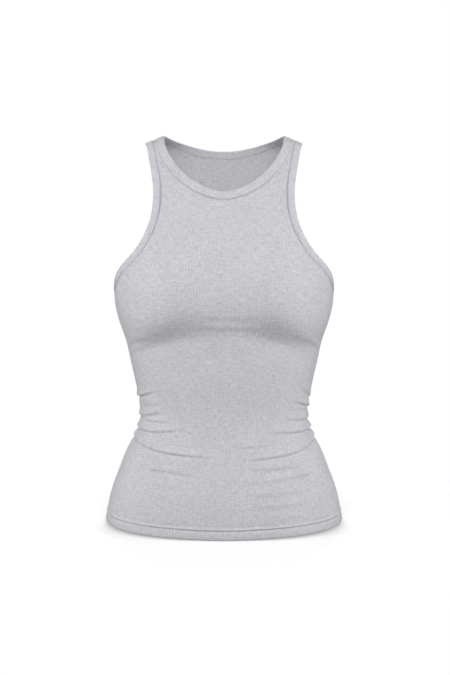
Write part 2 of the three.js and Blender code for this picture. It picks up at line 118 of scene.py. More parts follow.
# Folds drawn in at the waist and small creases: first and last angle, five heights at equal
# steps between them, how far the ridge rises, and how broad the fold is
FOLDS = [
    (-125, -40, (-351, -355, -355.5, -350.2, -339), 1.8, 0.8),
    (-120, -35, (-379, -382, -381.3, -376.4, -367.5), 1.7, 0.8),
    (-84, -36, (-381.5, -383, -384, -383.8, -382), 1.1, 0.6),
    (-140, -20, (-405, -401, -399, -398, -390), 2.2, 0.75),
    (-140, 0, (-420, -413, -413.4, -423, -427), 2.1, 0.75),
    (-46, -14, (-445.5, -446, -447.5, -449.5, -451.5), 1, 1),
    (46, 125, (-331, -347.5, -357, -360, -358), 0.9, 1.1),
    (43, 130, (-353, -364.5, -371, -373, -371), 1.8, 0.75),
    (38, 120, (-378.5, -383.5, -385, -388, -392), 1.6, 0.75),
    (26, 140, (-395, -399.3, -399.5, -404, -411), 2.5, 0.75),
    (5, 140, (-431.5, -426, -414.6, -412, -415), 2.1, 0.75),
    (140, 218, (-372, -376, -377, -375, -371), 1.3, 1),
    (146, 228, (-395, -399, -400, -397, -393), 1.5, 1),
    (134, 208, (-430, -433, -432, -429, -425), 1.2, 1),
    # under the bust
    (-13, 19, (-241.5, -242.7, -243, -242.9, -241.8), 0.9, 0.6),
    (-17, 22, (-255, -256, -256.2, -256.5, -257.5), 1.2, 0.6),
    (-78, -40, (-287, -282, -277, -272, -268), 0.9, 0.8),
    (-78, -46, (-301, -296, -291, -286.5, -282), 0.6, 0.8),
    (38, 82, (-266, -273, -281, -290, -300), 1.1, 0.8),
    # on the hips
    (6, 30, (-414.5, -414.3, -413.6, -412.8, -412), 0.55, 0.7),
    (14, 44, (-443, -444, -443.6, -442.6, -441), 0.8, 1.1),
    (8, 56, (-461.5, -460.5, -457.5, -455, -452), 0.9, 0.9),
    (12, 44, (-478.5, -478.2, -477, -475, -473.5), 0.8, 1),
    (12, 46, (-492.6, -493.6, -494, -493.4, -492), 0.8, 1),
    (24, 42, (-510.5, -511, -511, -510.6, -510), 0.4, 0.8),
    (-42, -20, (-467, -467.6, -468, -467.8, -467), 0.5, 1),
    # faint ones on the waist
    (48, 84, (-366.5, -368.3, -370.5, -373, -376), 0.5, 0.7),
    (-66, -40, (-361.5, -362.4, -362, -360.4, -358), 0.5, 0.8),
]
FOLD_CREST = 2.2                # ridge above the crease line
FOLD_ABOVE = 6.5                # how softly the cloth rises to the ridge
FOLD_BELOW = 1.9                # how sharply it falls to the crease
FOLD_DIP = 1.7                  # deepest point below the line
FOLD_UNDER = 4.5                # how softly it comes back
FOLD_HOLLOW = 0.8
FOLD_FADE = 0.24                # share of its length over which a fold dies away

# The hem is cut a little higher at the sides than in the middle
HEM_RISE_START = -455
HEM_RISE_CENTRE = -0.2
HEM_RISE_SIDES = 5.3
HEM_RISE_POWER = 1.3

# Turned-up hem: height, how far the outside stands out, how far the inside stands in
HEM = np.array([
    (-514, 0, 0),
    (-519.6, 0.05, 0),
    (-520.9, 0.6, 0.1),
    (-521.6, 0.5, 0.3),
    (-522.7, -0.45, 0.5),
    (-525.4, -0.1, 0.7),
    (-530, 0.35, 0.75),
    (-533.6, 0.2, 0.5),
    (-535, -0.4, -0.1),
])
HEM_STITCH_HEIGHT = -521.1

# Seams and stitching
SEAM_DIP = 1.1                  # cloth rolls down this far into a seam
SEAM_SOFT = 0.9                 # over this distance
SEAM_DIP_STRAPS = 0.25          # share of the dip left where the straps pull the seams flat
SEAM_DIP_HEIGHTS = (-25, -85)   # from the straps' share to the whole dip
SEAM_DIP_INSIDE = 1 / 3         # share of the dip by which the inside rolls out
SEAM_REACH = 3.6                # past this distance the dip has died away
SEAM_ROLL = 1.6                 # the folded binding rolls down this many times as deep
BINDING_PUFF = 0.5              # the folded binding stands this proud
BINDING_BACK = -1.1             # its inner face at the folded edge
BINDING_ALLOWANCE = -1.2        # and how much deeper it is over the seam allowance
BINDING_INSIDE_ROLL = 0.5       # the inner face turns out again at the seam
BINDING_EDGE = 0.85             # radius of its folded edge
BINDING_EDGE_TALL = 1.05        # how much taller than round that edge is
BINDING_EDGE_TURN = 60          # degrees of it either side of its middle
BINDING_EDGE_POINTS = 7
BINDING_THINNING = 0.25         # lift lost beside the folded edge
BINDING_THINNING_REACH = 2
# Points across its face, from the seam to the fold, and back across its inner face. They are
# close together where the topstitch may lie.
BINDING_FACE = np.array([0, 0.25, 0.6, 1.1, 1.8, 2.3, 2.7, 3.1, 3.5, 3.9, 4.5, 5.6, 7, 8.4, 9.4, 10])
BINDING_INSIDE = np.array([9.6, 7.5, 5, 2.5, 1, 0.3, 0])

STITCH_INSET = 3.3              # armhole topstitch, farthest from the seam at this height
STITCH_INSET_HEIGHT = -142
STITCH_INSET_REACH = 34
STITCH_INSET_LEAST = 0.8        # and nearest to it
NO_TOPSTITCH = -9               # an inset off the binding
STITCH_GROOVE = 0.6             # depth of the groove that it pulls into the binding
STITCH_GROOVE_WIDTH = 0.55
STITCH_LENGTH = 2.5
STITCH_PITCH = 3.2
THREAD_RADIUS = 0.24
STITCH_SIDES = 6

# One stitch from end to end: share of its length, height over its line, share of the thread's
# radius
STITCH_SHAPE = np.array([
    (0, -0.35, 0.6),
    (0.1, -0.05, 0.95),
    (0.3, 0.06, 1),
    (0.5, 0.1, 1),
    (0.7, 0.06, 1),
    (0.9, -0.05, 0.95),
    (1, -0.35, 0.6),
])

# How finely the cloth is divided
PANEL_COLUMNS = 50              # in half a panel, between the crowded edge columns
EDGE_STEPS = np.array([0, 0.35, 0.8, 1.5, 2.6, 4.4])
LARGEST_STEP = 3.3
FOLD_STEP = 1
SMALLEST_STEP = 0.32
STEP_GROWTH = 0.2
WAIST = (-330, -455)
SEAM_STEP = 2.1                 # along a binding
MARCH = 0.95                    # step of a path over the skin
PROBE = 0.05                    # step for slopes, in mm, degrees or quarters of the neck
NEAR_ENOUGH = 1e-9
HALVINGS = 40                   # of the range in which an angle is looked for
SHOULDER_START = 0.19           # first row of a panel, just off the ridge
HEIGHT_POINTS = 20001           # to look runs up by their height
SEAM_POINTS = 4001              # to look places up along a seam
NECK_TREE_POINTS = 1500         # to measure distances from half the neck seam
ARM_TREE_POINTS = 1000          # and from half an armhole seam
RING_POINTS = 91                # round a quarter of a ring
HEM_POINTS = 720
FLOOR_SIDES = 96

# Rib knit, in millimetres. The real ribs are about 2 mm apart and would blur in the render,
# so they are drawn coarser.
RIB_PITCH = 3.4
RIB_DEPTH = 0.16
RIB_PAINTED_SHADE_AND_HIGHLIGHT = (0.055, 0.01)       # painted shade dims the rib valleys by this share, and a painted highlight brightens the ribs by this share
FLECK_WIDTH = 1.7
FLECK_LENGTH = 6
STREAK_WIDTH = 9
STREAK_HEIGHT = 1.8
FUZZ_SIZE = 0.7
CLOUD_SIZE = 38
RIB_WAIST_SHARE = 0.5           # how much of the waist's narrowing crowds the ribs

# Camera, lights and floor, in metres
EYE = (0.00138, -1.6, -0.12)
EYE_TILT = 84.426
LENS = 61.8
FLOOR_HEIGHT = -0.536
PAPER_FADE = (0.22, 0.5)        # the paper fades away between these distances
PAPER_GLOW = 0.29               # keeps the paper as white as its surroundings
GARMENT_MIDDLE = (0, 0, -0.25)
GLOW = 0.12
SOFTBOXES = (                   # name, place, width, height, watts
    ("front", (0, -2.3, 0), 1.6, 1.2, 9),
    ("front_high", (0, -2.2, 0.7), 1.6, 1.2, 24),
    ("left", (-1.8, -0.6, 0), 1.0, 1.6, 21),
    ("right", (1.8, -0.6, 0), 1.0, 1.6, 21),
    ("top", (0, 0.15, 1.7), 1.2, 1.2, 6),
    ("behind", (0, 2.2, 0.5), 1.6, 1.2, 30),
)


def ease(value):
    t = np.clip(value, 0, 1)
    return t * t * (3 - 2 * t)


def bell(distance, spread):
    return np.exp(-((distance / spread) ** 2))


def curve_through(xs, ys, start_slope=None):
    """Smooth curve through points: a cubic spline, its starting slope given or left free."""
    xs, ys = np.asarray(xs, float), np.asarray(ys, float)
    step = np.diff(xs)
    rise = np.diff(ys) / step
    count = len(xs)
    system, target = np.eye(count), np.zeros(count)
    if start_slope is not None:
        system[0, :2] = 2 * step[0], step[0]
        target[0] = 3 * (rise[0] - start_slope)
    for i in range(1, count - 1):
        system[i, i - 1:i + 2] = step[i - 1], 2 * (step[i - 1] + step[i]), step[i]
        target[i] = 3 * (rise[i] - rise[i - 1])
    bend = np.linalg.solve(system, target)

    def at(x):
        i = np.clip(np.searchsorted(xs, x) - 1, 0, count - 2)
        t = x - xs[i]
        slope = rise[i] - step[i] * (2 * bend[i] + bend[i + 1]) / 3
        twist = (bend[i + 1] - bend[i]) / (3 * step[i])
        return ys[i] + t * (slope + t * (bend[i] + t * twist))

    return at


# The skin that every piece lies on

RUNS = np.concatenate([[0], np.cumsum(np.hypot(np.diff(HEIGHTS), np.diff(FRONTS + BACKS) / 2))])
height_at = curve_through(RUNS, HEIGHTS, 0)
half_at = curve_through(RUNS, HALVES, 0)
front_at = curve_through(RUNS, FRONTS, 1)
back_at = curve_through(RUNS, BACKS, 1)
FINE_RUNS = np.linspace(0, RUNS[-1], HEIGHT_POINTS)
FINE_HEIGHTS = height_at(FINE_RUNS)


def run_at(height):
    return np.interp(-np.asarray(height, float), -FINE_HEIGHTS, FINE_RUNS)


def swell_at(angle):
    return 1 + CORNER_FULLNESS * np.sin(2 * np.radians(angle)) ** 2


def angle_at(across, run):
    """Angle from the panel's centre where the ring at this run is so far across."""
    low, high = np.zeros(np.shape(across)), np.full(np.shape(across), 90.0)
    for _ in range(HALVINGS):
        middle = (low + high) / 2
        past = half_at(run) * np.sin(np.radians(middle)) * swell_at(middle) > across
        low, high = np.where(past, low, middle), np.where(past, middle, high)
    return (low + high) / 2


def skin(angle, run):
    """Points of the skin. A run below zero lies over the ridge, on the other face."""
    angle, run = np.broadcast_arrays(np.asarray(angle, float), np.asarray(run, float))
    over = np.where(angle > 0, 180 - angle, -180 - angle)
    angle, run = np.where(run < 0, over, angle), np.abs(run)
    turn = np.radians(angle)
    facing = np.cos(turn)
    depth = np.where(facing > 0, front_at(run), back_at(run))
    x = half_at(run) * np.sin(turn) * swell_at(angle)
    y = -depth * facing * swell_at(angle)
    level = height_at(run)
    entering = np.clip(np.abs(x) - SLOPE_START, 0, SLOPE_BLEND)
    beyond = np.maximum(np.abs(x) - SLOPE_START - SLOPE_BLEND, 0)
    sloped = entering ** 2 / (2 * SLOPE_BLEND) + beyond
    fall = math.tan(math.radians(SHOULDER_SLOPE)) * sloped - SLOPE_LIFT
    rise = HEM_RISE_CENTRE + HEM_RISE_SIDES * np.abs(np.sin(turn)) ** HEM_RISE_POWER
    near_hem = ease((level - HEM_RISE_START) / (HEIGHTS[-1] - HEM_RISE_START))
    z = level - fall * ease(1 + level / SLOPE_DEPTH) + rise * near_hem
    droop = BUST_DROOP * (np.minimum(np.abs(x), BUST_DROOP_END) / BUST_APART) ** 2
    off = level - BUST_HEIGHT + droop
    below = np.clip(-off / BUST_BELOW, 0, 1)
    tall = np.where(off > 0, bell(off, BUST_ABOVE * math.sqrt(2)), 1 - below ** 4 * (5 - 4 * below))
    broad = BUST_ACROSS * math.sqrt(2)
    sides = bell(x - BUST_APART, broad) + bell(x + BUST_APART, broad)
    y = y - BUST_SWELL * sides * tall * ease(facing / BUST_SIDE_FADE)
    return np.stack([x, y, z], axis=-1)


def unit(vectors):
    return vectors / np.linalg.norm(vectors, axis=-1, keepdims=True)


def skin_frame(angle, run):
    """The skin's two slopes and its outward normal."""
    around = (skin(angle + PROBE, run) - skin(angle - PROBE, run)) / (2 * PROBE)
    down = (skin(angle, run + PROBE) - skin(angle, run - PROBE)) / (2 * PROBE)
    return around, down, unit(np.cross(down, around))


def fold_profile(off):
    """Height across a fold: a soft rise to the ridge, a sharp fall and a shallow hollow."""
    ridge = bell(off - FOLD_CREST, np.where(off > FOLD_CREST, FOLD_ABOVE, FOLD_BELOW))
    hollow = bell(off + FOLD_DIP, np.where(off > -FOLD_DIP, FOLD_BELOW, FOLD_UNDER))
    return ridge - FOLD_HOLLOW * hollow


FOLD_LINES = [
    curve_through(np.linspace(first, last, 5), heights) for first, last, heights, _, _ in FOLDS
]


def fold_lift(angle, height):
    """How far the folds push the cloth out."""
    lift = np.zeros(np.broadcast(angle, height).shape)
    for (first, last, _, rise, breadth), line in zip(FOLDS, FOLD_LINES):
        turned = np.where((last > 180) & (angle < 0), angle + 360, angle)
        along = (turned - first) / (last - first)
        strength = rise * ease(along / FOLD_FADE) * ease((1 - along) / FOLD_FADE)
        off = height - line(np.clip(turned, first, last))
        lift += strength * fold_profile(off / breadth)
    return lift


hem_out = curve_through(-HEM[:, 0], HEM[:, 1], 0)
hem_in = curve_through(-HEM[:, 0], HEM[:, 2], 0)


def hem_offsets(height):
    """How far the hem stands out and in."""
    below = height < HEM[0, 0]
    return np.where(below, hem_out(-height), 0), np.where(below, hem_in(-height), 0)


# Seams

def neck_angle(face, height):
    """Angle of the neck seam from the centre, at a height above its lowest point."""
    half, drop, across_power, drop_power = NECK_SEAM[face]
    down = np.clip(-height / drop, 0, 1) ** drop_power
    return angle_at(half * (1 - down) ** (1 / across_power), run_at(height))


def arm_loop():
    """Armhole seam as one loop by length: underarm, front, ridge (run 0), back, underarm."""
    front, back = ARM_SEAM["front"], ARM_SEAM["back"]
    front = np.column_stack([front[:, 0], run_at(front[:, 1])])
    back = np.column_stack([back[:, 0], -run_at(back[:, 1])])
    mirror = lambda rows: np.column_stack([180 - rows[:, 0], rows[:, 1]])
    ends = mirror(front[1:3])[::-1], mirror(back[1:3])
    points = np.concatenate([ends[0], front, back[:-1][::-1], ends[1]])
    places = skin(points[:, 0], points[:, 1])
    lengths = np.concatenate([[0], np.cumsum(np.linalg.norm(np.diff(places, axis=0), axis=1))])
    return (curve_through(lengths, points[:, 0]), curve_through(lengths, points[:, 1]),
            lengths[2], lengths[len(front) + 1], lengths[-3])


ARM_ANGLE, ARM_RUN, ARM_START, ARM_RIDGE, ARM_END = arm_loop()
UNDERARM_RUN = float(run_at(UNDERARM))


def arm_angle(face, run):
    """Angle of the armhole seam from the panel's centre, at a run above the underarm."""
    lengths = np.linspace(ARM_START if face == "front" else ARM_END, ARM_RIDGE, SEAM_POINTS)
    return np.interp(-run, -np.abs(ARM_RUN(lengths)), ARM_ANGLE(lengths))


def neck_loop(place):
    """Neck seam all round, place 0 to 4 from the wearer's left ridge along the front."""
    turn = np.mod(place, 4)
    front, left = turn < 2, (turn < 1) | (turn >= 3)
    within = np.where(np.mod(turn, 2) < 1, np.mod(turn, 2), 2 - np.mod(turn, 2))
    quarter = within * math.pi / 2
    angle, run = np.zeros(np.shape(turn)), np.zeros(np.shape(turn))
    for face, here in (("front", front), ("back", ~front)):
        half, drop, across_power, drop_power = NECK_SEAM[face]
        level = run_at(-drop * np.sin(quarter) ** (2 / drop_power))
        across = half * np.clip(np.cos(quarter), 0, 1) ** (2 / across_power)
        out = angle_at(across, level)
        angle = np.where(here, out if face == "front" else 180 - out, angle)
        run = np.where(here, level, run)
    return np.where(left, angle, -angle), run


def arm_seam(side):
    """Armhole seam of one side, by its length from the underarm."""
    return lambda length: (side * ARM_ANGLE(length), ARM_RUN(length))


# Meshes

def make_piece(name, points, faces, corners, material):
    """A smooth mesh from points in mm, faces and each face corner's place in the cloth, in mm."""
    mesh = bpy.data.meshes.new(name)
    mesh.from_pydata((points * METRES).tolist(), [], faces.tolist())
    layer = mesh.uv_layers.new(name="cloth_mm")
    layer.data.foreach_set("uv", np.asarray(corners, np.float32).ravel())
    mesh.shade_smooth()
    mesh.materials.append(material)
    piece = bpy.data.objects.new(name, mesh)
    bpy.context.scene.collection.objects.link(piece)
    return piece


def close_wall(outer, inner, faces):
    """Joins an outer and an inner sheet with the same faces into one closed wall."""
    count = len(outer)
    edges = np.concatenate([faces[:, [k, (k + 1) % 4]] for k in range(4)])
    forward, reverse = edges @ (count, 1), edges @ (1, count)
    rim = edges[~np.isin(forward, reverse)]
    sides = np.column_stack([rim[:, 1], rim[:, 0], rim[:, 0] + count, rim[:, 1] + count])
    walls = np.concatenate([faces, faces[:, ::-1] + count, sides])
    return np.concatenate([outer, inner]), walls


def graded_runs(stops, step_for):
    """Runs from the first stop to the last, in steps that narrow at every stop."""
    runs = [stops[0]]
    for start, end in zip(stops, stops[1:]):
        marched = [start]
        while marched[-1] < end:
            near = min(marched[-1] - start, max(end - marched[-1], 0))
            step = min(SMALLEST_STEP + STEP_GROWTH * near, step_for(marched[-1]))
            marched.append(marched[-1] + step)
        scale = (end - start) / (marched[-1] - start)
        runs += [start + (run - start) * scale for run in marched[1:]]
    return np.array(runs)


def rows_of(face):
    """Runs of a panel's rows, and the row at which the neck seam reaches the centre."""
    neck_run = float(run_at(-NECK_SEAM[face][1]))
    waist = run_at(WAIST)
    stops = [SHOULDER_START, neck_run, UNDERARM_RUN, float(run_at(HEM_STITCH_HEIGHT)), RUNS[-1]]
    runs = graded_runs(stops, lambda run: FOLD_STEP if waist[0] < run < waist[1] else LARGEST_STEP)
    return runs, int(np.argmin(np.abs(runs - neck_run)))


def panel_angles(face, runs, neck_row):
    """Angles of the points in each row of half a panel, crowded towards its two edges."""
    depth_at = front_at if face == "front" else back_at
    side = 90 - np.degrees(SEAM_GAP / 2 / depth_at(runs))
    outer = np.where(runs < UNDERARM_RUN - NEAR_ENOUGH, arm_angle(face, runs), 90)
    outer = np.minimum(outer, side)
    inner = np.zeros(len(runs))
    inner[:neck_row] = neck_angle(face, height_at(runs[:neck_row]))
    at_outer = np.linalg.norm(skin_frame(outer, runs)[0], axis=1)
    at_inner = np.linalg.norm(skin_frame(inner, runs)[0], axis=1)
    first = inner[:, None] + EDGE_STEPS / at_inner[:, None]
    last = (outer[:, None] - EDGE_STEPS / at_outer[:, None])[:, ::-1]
    share = np.linspace(0, 1, PANEL_COLUMNS + 2)[1:-1]
    between = first[:, -1:] + (last[:, :1] - first[:, -1:]) * share
    return np.hstack([first, between, last])


def cloth_across(angles, runs):
    """Distance round from the centre line in the flat cloth, for each row of half a panel."""
    probe = np.linspace(0, 90, RING_POINTS)
    arcs = np.array([
        np.concatenate([[0], np.cumsum(np.linalg.norm(np.diff(skin(probe, run), axis=0), axis=1))])
        for run in runs
    ])
    whole = arcs[:, -1]
    crowd = (np.mean(whole) / whole) ** RIB_WAIST_SHARE
    rows = [np.interp(row, probe, arc) for row, arc in zip(angles, arcs)]
    return np.array(rows) * crowd[:, None]


def seam_depth(run):
    """How deep the seams lie at a run."""
    top, bottom = SEAM_DIP_HEIGHTS
    pressed = ease((top - height_at(np.abs(run))) / (top - bottom))
    return SEAM_DIP * (SEAM_DIP_STRAPS + (1 - SEAM_DIP_STRAPS) * pressed)


def seam_tree(face):
    """Points along the neck and armhole seams of a panel, to measure distances from."""
    places = np.linspace(0, 2, NECK_TREE_POINTS) + (0 if face == "front" else 2)
    first, last = (ARM_START, ARM_RIDGE) if face == "front" else (ARM_RIDGE, ARM_END)
    lengths = np.linspace(first, last, ARM_TREE_POINTS)
    points = [skin(*neck_loop(places))]
    points += [skin(*arm_seam(side)(lengths)) for side in (-1, 1)]
    points = np.concatenate(points)
    tree = KDTree(len(points))
    for i, point in enumerate(points):
        tree.insert(point, i)
    tree.balance()
    return tree


def seam_dip(face, base, angles, runs):
    """How far the cloth rolls down into the seams at its edges."""
    depth_at = front_at if face == "front" else back_at
    side = np.radians(90 - angles) * depth_at(runs)
    near = np.where(runs < UNDERARM_RUN, runs, np.minimum(side, runs))
    tree = seam_tree(face)
    upper = np.flatnonzero((runs < UNDERARM_RUN + SEAM_REACH).ravel())
    flat, points = near.ravel(), base.reshape(-1, 3)
    found = np.array([tree.find(points[i])[2] for i in upper])
    flat[upper] = np.minimum(flat[upper], found)
    return seam_depth(runs) * bell(flat.reshape(near.shape), SEAM_SOFT)


def panel(face, material):
    """Front or back: two halves that share their centre line below the neck."""
    runs, neck_row = rows_of(face)
    half = panel_angles(face, runs, neck_row)
    across = cloth_across(half, runs)
    grid_runs = np.broadcast_to(runs[:, None], half.shape)
    count = half.size
    outer, inner, cloth, faces = [], [], [], []
    for side in (-1, 1):
        turned = side * (half if face == "front" else 180 - half)
        base = skin(turned, grid_runs)
        normal = skin_frame(turned, grid_runs)[2]
        height = height_at(grid_runs)
        lift = fold_lift(turned, height)
        out, within = hem_offsets(height)
        dip = seam_dip(face, base, half, grid_runs.copy())
        outside = lift + out - dip
        inside = lift - WALL - within + dip * SEAM_DIP_INSIDE
        outer.append((base + normal * outside[..., None]).reshape(-1, 3))
        inner.append((base + normal * inside[..., None]).reshape(-1, 3))
        cloth.append(np.stack([side * across, grid_runs], axis=-1).reshape(-1, 2))
        number = np.arange(count).reshape(half.shape) + (0 if side < 0 else count)
        if side > 0:
            number[neck_row:, 0] -= count
        quads = np.stack(
            [number[:-1, :-1], number[1:, :-1], number[1:, 1:], number[:-1, 1:]], axis=-1
        ).reshape(-1, 4)
        faces.append(quads if (side > 0) == (face == "front") else quads[:, ::-1])
    faces = np.concatenate(faces)
    used, faces = np.unique(faces, return_inverse=True)
    faces = faces.reshape(-1, 4)
    outer, inner = np.concatenate(outer)[used], np.concatenate(inner)[used]
    cloth = np.tile(np.concatenate(cloth)[used], (2, 1))
    points, walls = close_wall(outer, inner, faces)
    return make_piece(f"{face}_cloth", points, walls, cloth[walls], material)


def walk(angle, run, heading, targets):
    """Walks over the skin from many points at once. Targets is a row of distances for each
    stop. Returns the points and normals at the stops."""
    angle, run, heading = angle.copy(), run.copy(), heading.copy()
    walked = np.zeros(len(angle))
    points, normals = [], []
    for target in targets:
        while np.any(walked < target - NEAR_ENOUGH):
            step = np.minimum(MARCH, target - walked)
            around, down, normal = skin_frame(angle, run)
            dot = lambda a, b: np.sum(a * b, axis=-1)
            heading = unit(heading - normal * dot(heading, normal)[:, None])
            aa, ad, dd = dot(around, around), dot(around, down), dot(down, down)
            ah, dh = dot(around, heading), dot(down, heading)
            spread = aa * dd - ad * ad
            angle = angle + step * (ah * dd - dh * ad) / spread
            run = run + step * (dh * aa - ah * ad) / spread
            walked = walked + step
        points.append(skin(angle, run))
        normals.append(skin_frame(angle, run)[2])
    return np.array(points), np.array(normals)


def binding_section(width, inset, depth):
    """Rows of distance from the seam and height above the skin, round a folded binding, for
    each place. Inset is where its topstitch lies, and depth how deep its seam is."""
    face, inside = BINDING_FACE, BINDING_INSIDE
    arc = np.radians(np.linspace(BINDING_EDGE_TURN, -BINDING_EDGE_TURN, BINDING_EDGE_POINTS))
    reach = width - SEAM_GAP
    middle = (BINDING_PUFF + BINDING_BACK) / 2
    edge = reach - BINDING_EDGE + BINDING_EDGE * np.cos(arc)
    turned = middle + BINDING_EDGE_TALL * BINDING_EDGE * np.sin(arc)
    deeper = BINDING_BACK + BINDING_ALLOWANCE * (1 - inside / reach)
    distance = np.concatenate([face, edge, inside])
    lift = np.concatenate([
        BINDING_PUFF - BINDING_THINNING * bell(face - reach, BINDING_THINNING_REACH),
        turned,
        deeper + BINDING_INSIDE_ROLL * bell(inside, SEAM_SOFT),
    ])
    distance = np.repeat(distance[:, None], len(inset), axis=1)
    lift = np.repeat(lift[:, None], len(inset), axis=1)
    rows = np.arange(len(distance)) < len(face)
    rolled = SEAM_ROLL * depth * bell(distance, SEAM_SOFT)
    lift -= np.where(rows[:, None], rolled, 0)
    groove = STITCH_GROOVE * bell(distance - inset, STITCH_GROOVE_WIDTH)
    lift -= np.where(rows[:, None] & (inset > 0), groove, 0)
    return distance + SEAM_GAP, lift


def binding(name, curve, places, towards, width, inset, material):
    """A folded binding carried all round a seam that closes on itself. Returns the piece, and
    the points and normals of the line where its topstitch lies."""
    angle, run = curve(places)
    ahead, behind = skin(*curve(places + PROBE)), skin(*curve(places - PROBE))
    heading = np.cross(unit(ahead - behind), skin_frame(angle, run)[2]) * towards
    distance, lift = binding_section(width, inset, seam_depth(run))
    order = np.argsort(distance[:, 0], kind="stable")
    points, normals = walk(angle, run, heading, distance[order])
    back = np.argsort(order)
    points, normals = points[back], normals[back]
    shape = points + normals * lift[..., None]
    rounds, count = shape.shape[:2]
    seam = skin(angle, run)
    steps = np.linalg.norm(np.roll(seam, -1, axis=0) - seam, axis=1)
    whole = steps.sum()
    along = np.concatenate([[0], np.cumsum(steps)]) * round(whole / RIB_PITCH) * RIB_PITCH / whole
    middle = shape[:, 0]
    around = np.linalg.norm(np.roll(middle, -1, axis=0) - middle, axis=1)
    around = np.concatenate([[0], np.cumsum(around)])
    k, i = np.meshgrid(np.arange(rounds), np.arange(count), indexing="ij")
    number = lambda a, b: (a % rounds) * count + b % count
    quads = [(k, i), (k + 1, i), (k + 1, i + 1), (k, i + 1)]
    if towards < 0:
        quads = quads[::-1]
    faces = np.stack([number(a, b) for a, b in quads], axis=-1).reshape(-1, 4)
    corners = np.stack([np.stack([along[b], around[a]], axis=-1) for a, b in quads], axis=-2)
    piece = make_piece(name, shape.reshape(-1, 3), faces, corners.reshape(-1, 4, 2), material)
    line, line_normals = walk(angle, run, heading, np.maximum(inset, 1)[None] + SEAM_GAP)
    stitched = line[0] + line_normals[0] * (BINDING_PUFF - STITCH_GROOVE)
    return piece, stitched, line_normals[0]


def even_places(curve, first, last):
    """Places along a closed seam, at even distances over the cloth."""
    fine = np.linspace(first, last, SEAM_POINTS)
    points = skin(*curve(fine))
    lengths = np.concatenate([[0], np.cumsum(np.linalg.norm(np.diff(points, axis=0), axis=1))])
    count = round(lengths[-1] / SEAM_STEP)
    return np.interp(np.arange(count) * lengths[-1] / count, lengths, fine)


def stitches(name, line, normals, material):
    """A row of thread stitches along a closed line, joined in one mesh."""
    line = np.concatenate([line, line[:1]])
    normals = np.concatenate([normals, normals[:1]])
    lengths = np.concatenate([[0], np.cumsum(np.linalg.norm(np.diff(line, axis=0), axis=1))])
    count = int(lengths[-1] / STITCH_PITCH)
    shares, heights, widths = STITCH_SHAPE.T
    start = np.arange(count)[:, None] * lengths[-1] / count
    where = start + shares * STITCH_LENGTH
    sample = lambda rows, at: np.stack([np.interp(at, lengths, rows[:, k]) for k in range(3)], -1)
    normal = unit(sample(normals, where))
    along = unit(sample(line, where + PROBE) - sample(line, where - PROBE))
    aside = np.cross(along, normal)
    centre = sample(line, where) + normal * heights[:, None]
    turn = np.arange(STITCH_SIDES) * 2 * math.pi / STITCH_SIDES
    ring = normal[:, :, None] * np.cos(turn)[:, None] + aside[:, :, None] * np.sin(turn)[:, None]
    points = centre[:, :, None] + ring * THREAD_RADIUS * widths[:, None, None]
    rings = len(shares)
    s, r, k = np.meshgrid(np.arange(count), np.arange(rings - 1), np.arange(STITCH_SIDES),
                          indexing="ij")
    number = lambda r, k: (s * rings + r) * STITCH_SIDES + k % STITCH_SIDES
    tubes = np.stack([number(r, k), number(r, k + 1), number(r + 1, k + 1), number(r + 1, k)], -1)
    caps = []
    for row, order in ((0, (3, 2, 1, 0)), (0, (5, 4, 3, 0)), (rings - 1, (0, 1, 2, 3)),
                       (rings - 1, (0, 3, 4, 5))):
        first = (np.arange(count) * rings + row) * STITCH_SIDES
        caps.append(first[:, None] + np.array(order))
    faces = np.concatenate([tubes.reshape(-1, 4), *caps])
    grid = np.stack(np.broadcast_arrays(where[:, :, None], turn * THREAD_RADIUS), -1).reshape(-1, 2)
    return make_piece(name, points.reshape(-1, 3), faces, grid[faces], material)


def hem_stitch_line():
    """Line round the hem where its stitches lie, and the normals there."""
    angle = np.linspace(-180, 180, HEM_POINTS + 1)[:-1]
    run = np.full(len(angle), float(run_at(HEM_STITCH_HEIGHT)))
    normal = skin_frame(angle, run)[2]
    lift = fold_lift(angle, height_at(run)) + hem_offsets(height_at(run))[0]
    return skin(angle, run) + normal * lift[:, None], normal


# Materials

def colour(code):
    """Linear colour from an sRGB hex value such as "c5c5cb"."""
    parts = [int(code[i:i + 2], 16) / 255 for i in (0, 2, 4)]
    linear = [p / 12.92 if p <= 0.04045 else ((p + 0.055) / 1.055) ** 2.4 for p in parts]
    return (*linear, 1)


def add_node(tree, kind, inputs=None, **settings):
    """Adds a node, with its settings, and its inputs set to values or linked from sockets."""
    node = tree.nodes.new("ShaderNode" + kind)
    for name, value in settings.items():
        setattr(node, name, value)
    for name, value in (inputs or {}).items():
        if isinstance(value, bpy.types.NodeSocket):
            tree.links.new(value, node.inputs[name])
        else:
            node.inputs[name].default_value = value
    return node


def new_material(name):
    material = bpy.data.materials.new(name)
    material.use_nodes = True
    material.node_tree.nodes.clear()
    return material, material.node_tree


